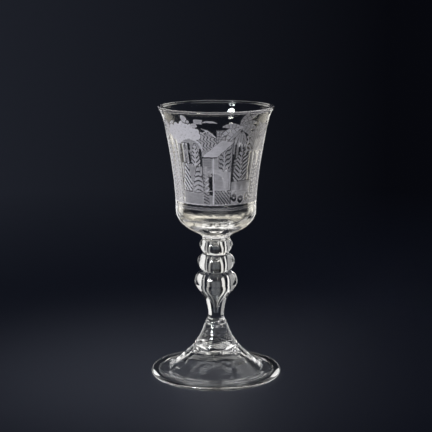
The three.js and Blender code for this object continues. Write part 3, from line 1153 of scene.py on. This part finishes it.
    def front_right(self) -> None:
        """A palm and a fir beside the house, over a fence."""
        self.panel(8.6, 24.5, 120.0, 153.0, 0.44, 0.1, 1.4, -0.7)
        dusk, x = self.frame(0.2, 10.0, 151.0, 158.8)
        self.cut(dusk, 0.3, 0.3, (self.up + 0.6 * np.sin(x / 0.8)) / 1.2)
        self.leaves(dusk, 1.8, 0.8, 0.55)
        for sides in (
            (10.9, 11.8, 140.4, 152.4, 0.15), (13.2, 14.2, 143.0, 151.0, 0.15),
            (15.8, 16.8, 142.0, 150.6, 0.15), (9.5, 11.0, 126.6, 144.0, 0.45),
        ):
            self.slit(*sides)
        self.tree(15.4, 127.2, 19.4, 5.0, 2.7, 1.0, gap=0.5, tone=0.75)
        for low in (129.6 + 2.5 * i for i in range(7)):
            self.leaf(18.2, [(-1.6, low), (2.6, low + 3.4)], 0.5, 1.0, 0.5, 0.5)
        self.slit(21.2, 22.4, 126.8, 144.6, 0.25)
        self.panel(9.4, 23.8, 120.6, 126.8, 0.55, 0.06, 1.3, 0.6)
        self.fence(9.4, 24.0, 120.4, 4.85, 0.6)
        thicket = self.frame(17.6, 37.0, 143.6, 156.0)[0]
        self.cut(thicket, 0.95, moat=0.2)
        self.leaves(thicket, 2.8, 0.9, 0.0)
        crown = disc(self.at(28.5), self.up - 153.0, 8.4)
        self.cut(crown, 0.75, 0.2, (self.at(29.75) + 0.8 * self.up) / 1.9)
        self.palm(29.0, 154.6, 9.5, (150, 125, 100, 72, 48, 20), 0.85)
        self.palm(13.2, 160.2, 11.4, (188, 158, 208, 84, 60, 34, 8, -22), 0.92)
        for turn in (-58, -78, -98, -118, -138):
            self.leaf(13.6, bent(158.8, math.radians(turn), 9.0, 0.25), 0.8, 0.66, moat=0.25)

    def grove(self, first: float, step: float, heights: Sequence[float], rise: float) -> None:
        """A dense row of trees on a matt ground."""
        half = 0.55 * abs(step)
        for i, height in enumerate(heights):
            centre, odd = first + step * i, i % 2
            self.panel(centre - half, centre + half, self.ground, 118.0 + height / 2, 0.7, 0.2, 1.1, 0.6, 0.1)
            base = 115.0 + 1.5 * odd
            self.tree(centre, base, height, 0.62 * abs(step), 2.4, rise, 0.1 * odd, gap=0.4, tone=0.85)

    def back(self) -> None:
        """The far side: a garden gate between low trees and two birds, under a clear sky."""
        middle = self.girth / 2
        self.panel(middle - 8.2, middle + 8.2, self.ground, 126.4, 0.6, 0.4, 2.2, 0.7)
        self.arch(middle - 5.0, middle + 5.0, self.ground, 124.0)
        self.columns((middle - 7.2, middle + 7.2), 0.8, self.ground, 128.6, 0.8)
        for centre, height in ((-14.5, 9.0), (-20.0, 6.0), (14.5, 7.0), (20.5, 9.5), (-25.5, 8.0)):
            self.tree(middle + centre, self.ground, height, 2.4, 1.9, -0.9, gap=0.66, tone=0.6)
        self.bird(middle - 18.0, 143.0, 4.0)
        self.bird(middle + 20.0, 139.0, 3.4)

    def draw(self) -> None:
        """Draws the whole picture, from the back to the front."""
        self.grove(-27.2, -5.6, (38.0, 35.0, 40.0, 34.0, 28.0), -1.1)
        self.grove(27.0, 5.8, (31.0, 35.0, 33.0, 38.0, 29.0), 0.8)
        self.back()
        self.front_left()
        self.front_right()
        self.house(-1.5, 141.9)
        self.slit(-4.4, -2.1, 118.8, 132.0)
        for low in (121.0, 124.2, 127.4):
            self.stroke(-5.4, [(-1.0, low), (1.4, low + 1.8)], 0.3, 0.8)
        self.ground_lines()


# The bowl


@dataclass
class Bowl:
    """The blown bowl and the picture on it."""

    seat: float
    waist: float = 25.1
    waist_height: float = 18.4
    lip_thickness: float = 1.9
    lip_roll: float = 0.38
    roll_drop: float = 0.7
    roll_width: float = 0.8
    wall: float = 1.7
    base_thickness: float = 8.2
    picture_radius: float = 27.3
    cut_depth: float = 0.1
    flare_steps: int = 134
    inner_steps: int = 80
    lip_zone: float = 4.0
    wave: float = 0.05
    ring_depth: float = 0.06
    rings: Waves = ((1.9, 2, 0.0, 1.0), (3.3, -3, 1.0, 0.7))
    dips: Waves = ((5.5, 1, 0.0, 0.09), (3.1, -2, 0.0, 0.06))
    span: Span = span_of("bowl")

    def __post_init__(self) -> None:
        """Works out the lip and the side of the bowl."""
        self.lip = self.lip_thickness / 2
        self.lip_height = self.span.top - self.lip
        self.waist_top = self.span.base + self.waist_height
        self.side = self.flare(0.0, 0.0, self.flare_steps)

    def flare(self, wall: float, lip_wall: float, steps: int) -> Outline:
        """The side of the bowl between its waist and its lip, as deep in the wall as is given."""
        waist = spot(self.waist - wall, self.waist_top)
        lip = spot(self.span.radius - lip_wall, self.lip_height)
        rise = lip.z - waist.z
        pull_lip = lip - spot(0.47 * (lip.x - waist.x), 0.1 * rise)
        return curve(waist, waist + spot(0.0, 0.27 * rise), pull_lip, lip, steps)

    def outline(self) -> Outline:
        """The whole wall, up the outside and down the inside."""
        seat = spot(self.seat, self.span.base)
        pull_waist = spot(self.waist, seat.z + 0.31 * self.waist_height)
        inner_waist = spot(self.waist - self.wall, self.waist_top)
        bottom = spot(0.0, self.span.base + self.base_thickness)
        pull_inner = spot(inner_waist.x, bottom.z + 0.25 * (inner_waist.z - bottom.z))
        inside = enumerate(self.flare(self.wall, self.lip_thickness, self.inner_steps)[:-1])
        inside = [p for i, p in inside if i % 3 == 0 or p.z > self.lip_height - self.lip_zone]
        thickest = self.lip_height - self.roll_drop
        rolls = [self.lip_roll * math.exp(-(((thickest - p.z) / self.roll_width) ** 2)) for p in inside]
        return joined(
            [spot(0.0, self.span.base)],
            curve(seat, seat + spot(0.0, 0.22 * self.waist_height), pull_waist, self.side[0], 24),
            self.side,
            arc(spot(self.span.radius - self.lip, self.lip_height), self.lip, 0, 2, 10),
            [p - spot(roll, 0.0) for p, roll in zip(inside, rolls)][::-1],
            curve(inner_waist, pull_inner, spot(0.55 * inner_waist.x, bottom.z), bottom, 14),
        )

    def waved(self, places: Array) -> Array:
        """Gives the blown wall its slight waves, and the solid base the rings that the tools left.

        Args:
            places: The bowl's vertices, in millimetres.

        Returns:
            The same vertices, moved.
        """
        radius, turn, z = round_axis(places)
        up = z - self.span.base
        low = ramp(self.waist_top - z, 3.0) * ramp(up, 1.5)
        rings = rippled(z, turn, self.rings) * (1.0 + 0.7 * np.sin(5 * turn + z / 2.0))
        rings = rings + 1.2 * np.sin(17 * turn - z / 1.2)
        wide = np.sin(2 * turn + 0.4) + 0.6 * np.sin(3 * turn + z / 23.0) + 0.35 * np.sin(7 * turn - z / 9.0)
        out = self.ring_depth * low * rings + self.wave * wide * ramp(up, 20.0)
        bottom = low * ramp(self.waist - 4.0 - radius, 3.0) * (up > 6.0)
        dip = np.abs(rippled(radius, turn, self.dips))
        return pushed(places, out / np.maximum(radius, 1.0), -bottom * dip)

    def build(self, finishes: Finishes) -> None:
        """Builds the bowl and cuts the picture into its outside."""
        joint = Joint(self.span.base, 0.0, self.seat)
        blank = TurnedPiece("bowl", "top", self.outline(), (joint,), doublings=4, shape=self.waved)
        mesh = blank.build(finishes, Slot.ENGRAVED).data
        places = places_of(mesh) / MM
        radius = np.hypot(places[:, 0], places[:, 1])
        zone = self.outer_wall(radius, places[:, 2])
        along = np.arctan2(places[zone, 0], -places[zone, 1]) * self.picture_radius
        picture = Landscape(along, places[zone, 2].copy(), math.tau * self.picture_radius)
        picture.draw()
        depth = self.cut_depth * ramp(picture.edge + 0.25, 0.5)
        places[zone, :2] *= (1 - depth / radius[zone])[:, None]
        mesh.vertices.foreach_set("co", (places * MM).ravel())
        mesh.update()
        rests = (-picture.reach, 0.0, 0.0, 0.0)
        layers = (picture.edge, picture.tone, picture.gap, picture.phase)
        for name, rest, values in zip(CUT_LAYERS, rests, layers):
            whole = np.full(len(mesh.vertices), rest, np.float32)
            whole[zone] = values
            mesh.attributes.new(name, "FLOAT", "POINT").data.foreach_set("value", whole)

    def outer_wall(self, radius: Array, height: Array) -> Array:
        """True for the vertices on the outside of the wall, between the waist and the lip."""
        expected = np.interp(height, [p.z for p in self.side], [p.x for p in self.side])
        return (height > self.waist_top - 0.01) & (height < self.lip_height - 0.1) & (radius > expected - 0.5)


# The stage


@dataclass(frozen=True)
class Lamp:
    """A soft lamp.

    Attributes:
        name: The lamp's name.
        bearing: Its direction from the glass, in degrees; 0 is straight behind and 90 the right.
        away: Its distance from the axis, in metres.
        height: Its height, in metres.
        size: Its width and height, in metres.
        level: How bright its face is; 1 is white.
        aim: The height that it faces, in metres.
        spread: The opening of its honeycomb, in degrees.
        colour: The colour of its light.
        roll: How far it is turned in its own plane, in degrees.
        round_face: True for a round lamp.
        aside: How far to the right of the axis it faces, in metres.
    """

    name: str
    bearing: float
    away: float
    height: float
    size: Pair
    level: float
    aim: float = 0.1
    spread: float = 180.0
    colour: Triple = (1.0, 1.0, 1.0)
    roll: float = 0.0
    round_face: bool = False
    aside: float = 0.0

    @classmethod
    def pair(cls, name: str, bearing: float, *others: Any) -> list["Lamp"]:
        """Two lamps alike, one on each side."""
        return [cls(f"{name}_left", -bearing, *others), cls(f"{name}_right", bearing, *others)]

    @classmethod
    def umbrella(cls, name: str, height: float, size: Pair, level: float, aim: float) -> "Lamp":
        """An umbrella in front, on the left."""
        return cls(name, -143.5, 0.78, height, size, level, aim, 60.0, round_face=True)

    def hang(self, group: str) -> None:
        """Hangs the lamp, facing its aim and kept to one group of objects."""
        light = bpy.data.lights.new(self.name, "AREA")
        light.shape = "ELLIPSE" if self.round_face else "RECTANGLE"
        light.size, light.size_y = self.size
        light.energy = math.pi * self.size[0] * self.size[1] * self.level
        light.color = self.colour
        light.spread = math.radians(self.spread)
        lamp = bpy.data.objects.new(self.name, light)
        bearing = math.radians(self.bearing)
        place = Vector((self.away * math.sin(bearing), self.away * math.cos(bearing), self.height))
        lamp.location = place
        lamp.rotation_mode = "QUATERNION"
        facing = (Vector((self.aside, 0.0, self.aim)) - place).to_track_quat("-Z", "Y")
        lamp.rotation_quaternion = facing @ Quaternion((0.0, 0.0, 1.0), math.radians(self.roll))
        lamp.light_linking.receiver_collection = bpy.data.collections[group]
        bpy.context.scene.collection.objects.link(lamp)


@dataclass
class Studio:
    """The floor, the lamps, the dark room and the camera."""

    floor_radius: float = 0.8
    lens: float = 102.2
    camera_place: Triple = (0.0, -0.753, 0.249)
    camera_tilt: float = 11.12
    cream: Triple = (1.0, 0.95, 0.84)
    pale: Triple = (1.0, 0.98, 0.94)
    cool: Triple = (0.8, 0.88, 1.0)
    left_wall: Triple = (0.0135, 0.0155, 0.0225)
    right_wall: Triple = (0.0022, 0.0025, 0.0042)
    wall_slope: float = 2.9
    wall_middle: float = 0.6
    light_bounces: int = 24

    def floor(self) -> None:
        """A plain, pale, round floor."""
        bm = bmesh.new()
        bmesh.ops.create_circle(bm, cap_ends=True, segments=128, radius=self.floor_radius)
        mesh = bpy.data.meshes.new("floor")
        bm.to_mesh(mesh)
        bm.free()
        mesh.materials.append(FloorPaint("floor_paint").make())
        floor = bpy.data.objects.new("floor", mesh)
        bpy.data.collections["floor"].objects.link(floor)

    def lamps(self) -> None:
        """Hangs every lamp; each is kept to one part of the glass, or to the floor."""
        cream, pale = self.cream, self.pale
        rigs = {
            "top": [
                Lamp("bowl_left", -28.0, 0.2, 0.06, (0.055, 0.12), 1.3),
                Lamp("bowl_left_soft", -17.0, 0.2, 0.06, (0.021, 0.12), 0.6),
                Lamp("bowl_right", 28.0, 0.2, 0.06, (0.055, 0.12), 1.3, colour=pale),
                Lamp("bowl_right_soft", 17.0, 0.2, 0.06, (0.021, 0.12), 0.5, colour=pale),
                Lamp("base_left", -60.0, 0.3, 0.1, (0.2, 0.2), 0.8, colour=cream),
                Lamp("base_right", 60.0, 0.3, 0.1, (0.2, 0.2), 0.9, colour=cream),
                Lamp("base_low", 8.0, 0.12, 0.009, (0.08, 0.014), 0.6, colour=cream),
                Lamp("base_strip", -5.0, 0.12, 0.027, (0.06, 0.01), 0.7, colour=cream),
                Lamp("base_wing_left", -9.5, 0.12, 0.04, (0.034, 0.012), 0.55, colour=cream, roll=33.0),
                Lamp("base_wing_right", 10.5, 0.12, 0.041, (0.034, 0.012), 0.4, colour=cream, roll=-33.0),
                Lamp("bowl_high", 0.0, 0.35, 0.4, (0.6, 0.26), 1.7, colour=pale),
                Lamp("bowl_top", 180.0, 0.02, 0.5, (0.3, 0.3), 1.5),
                Lamp.umbrella("top_umbrella", 0.57, (0.23, 0.19), 4.7, 0.13),
            ],
            "middle": [
                Lamp("stem_right", 38.0, 0.12, 0.1, (0.066, 0.2), 1.0),
                Lamp("stem_left", -36.0, 0.12, 0.1, (0.045, 0.2), 0.35),
                Lamp("stem_edge", -50.0, 0.12, 0.1, (0.012, 0.2), 0.9),
                Lamp("stem_high", 0.0, 0.2, 0.24, (0.22, 0.14), 0.9),
                Lamp("stem_back", 0.0, 0.2, 0.06, (0.08, 0.12), 0.08, colour=self.cool),
                Lamp("stem_front_left", -150.0, 0.3, 0.1, (0.15, 0.2), 0.4),
                Lamp("stem_front_right", 150.0, 0.3, 0.1, (0.15, 0.2), 0.25),
                Lamp.umbrella("stem_umbrella", 0.52, (0.5, 0.24), 5.0, 0.05),
            ],
            "cone": [
                *Lamp.pair("cone", 42.0, 0.1, 0.075, (0.09, 0.15), 1.3),
                Lamp.umbrella("cone_umbrella", 0.4, (0.4, 0.11), 5.0, 0.03),
            ],
            "base": [
                *Lamp.pair("foot", 80.0, 0.16, 0.05, (0.2, 0.05), 2.7),
                Lamp("foot_low", 0.0, 0.046, 0.007, (0.07, 0.004), 0.2, 0.007),
                Lamp("foot_tip_left", -108.0, 0.05, 0.0006, (0.04, 0.023), 1.1, 1.0),
                Lamp("foot_tip_right", 108.0, 0.05, 0.0006, (0.045, 0.027), 0.9, 1.0),
                *Lamp.pair("foot_back", 18.0, 0.25, 0.022, (0.05, 0.036), 2.0, 0.02),
                *Lamp.pair("foot_wing", 29.0, 0.2, 0.05, (0.04, 0.06), 1.0, 0.01),
                Lamp("foot_back", 0.0, 0.35, 0.18, (0.3, 0.02), 2.4),
                Lamp("foot_high", 0.0, 0.25, 0.22, (0.5, 0.025), 2.4),
                Lamp("foot_top", 0.0, 0.06, 0.3, (0.5, 0.045), 1.0, 0.0),
                Lamp("foot_rings", 180.0, 0.02, 0.3, (0.3, 0.045), 1.6, 0.0),
                Lamp("foot_sheen", 55.0, 0.2, 0.21, (0.26, 0.2), 0.45, 0.0, round_face=True),
                Lamp.umbrella("foot_umbrella", 0.53, (0.2, 0.32), 2.0, 0.01),
            ],
            "floor": [
                Lamp("floor_lamp", -140.0, 0.35, 0.85, (0.14, 0.14), 0.105, 0.0, 22.0, aside=-0.05),
            ],
        }
        for group, lamps in rigs.items():
            for lamp in lamps:
                lamp.hang(group)

    def room(self) -> None:
        """The dark room, a little lighter on the left."""
        world = bpy.data.worlds.new("dark_room")
        world.use_nodes = True
        tree = world.node_tree
        tree.nodes.clear()
        direction = Finish.node(tree, "ShaderNodeTexCoord").outputs["Generated"]
        across = Finish.node(tree, "ShaderNodeSeparateXYZ", Vector=direction).outputs["X"]
        share = Value(tree, across) * self.wall_slope + self.wall_middle
        colour = Finish.blend(tree, share, self.left_wall, self.right_wall)
        light = Finish.node(tree, "ShaderNodeBackground", Color=colour).outputs[0]
        Finish.node(tree, "ShaderNodeOutputWorld", Surface=light)
        bpy.context.scene.world = world

    def camera(self) -> None:
        """The camera at the photograph's distance, height and tilt."""
        data = bpy.data.cameras.new("camera")
        data.lens = self.lens
        camera = bpy.data.objects.new("camera", data)
        camera.location = self.camera_place
        camera.rotation_euler = (math.radians(90 - self.camera_tilt), 0.0, 0.0)
        bpy.context.scene.collection.objects.link(camera)
        bpy.context.scene.camera = camera

    def build(self) -> None:
        """Sets the stage."""
        self.camera()
        self.floor()
        self.lamps()
        self.room()
        bpy.context.scene.view_settings.view_transform = "Standard"
        paths = bpy.context.scene.cycles
        paths.max_bounces = paths.glossy_bounces = paths.transmission_bounces = self.light_bounces
        paths.caustics_reflective = paths.caustics_refractive = False


def main() -> None:
    """Builds the glass from the foot up, then the stage."""
    logging.basicConfig(level=logging.INFO, format="%(message)s")
    for group in ("base", "cone", "middle", "top", "floor"):
        bpy.context.scene.collection.children.link(bpy.data.collections.new(group))
    fused = FusedJoint("fused_joint").make()
    clear = [ClearGlass("clear_glass").make(), fused]
    broken = [BrokenGlass("broken_glass").make(), fused]
    engraved = [EngravedGlass("engraved_glass").make(), fused]
    foot = FootAssembly()
    stem = Stem(foot.cone_foot)
    foot.build(clear, broken)
    stem.build(clear)
    Bowl(stem.bowl_seat).build(engraved)
    Studio().build()


if __name__ == "__main__":
    main()
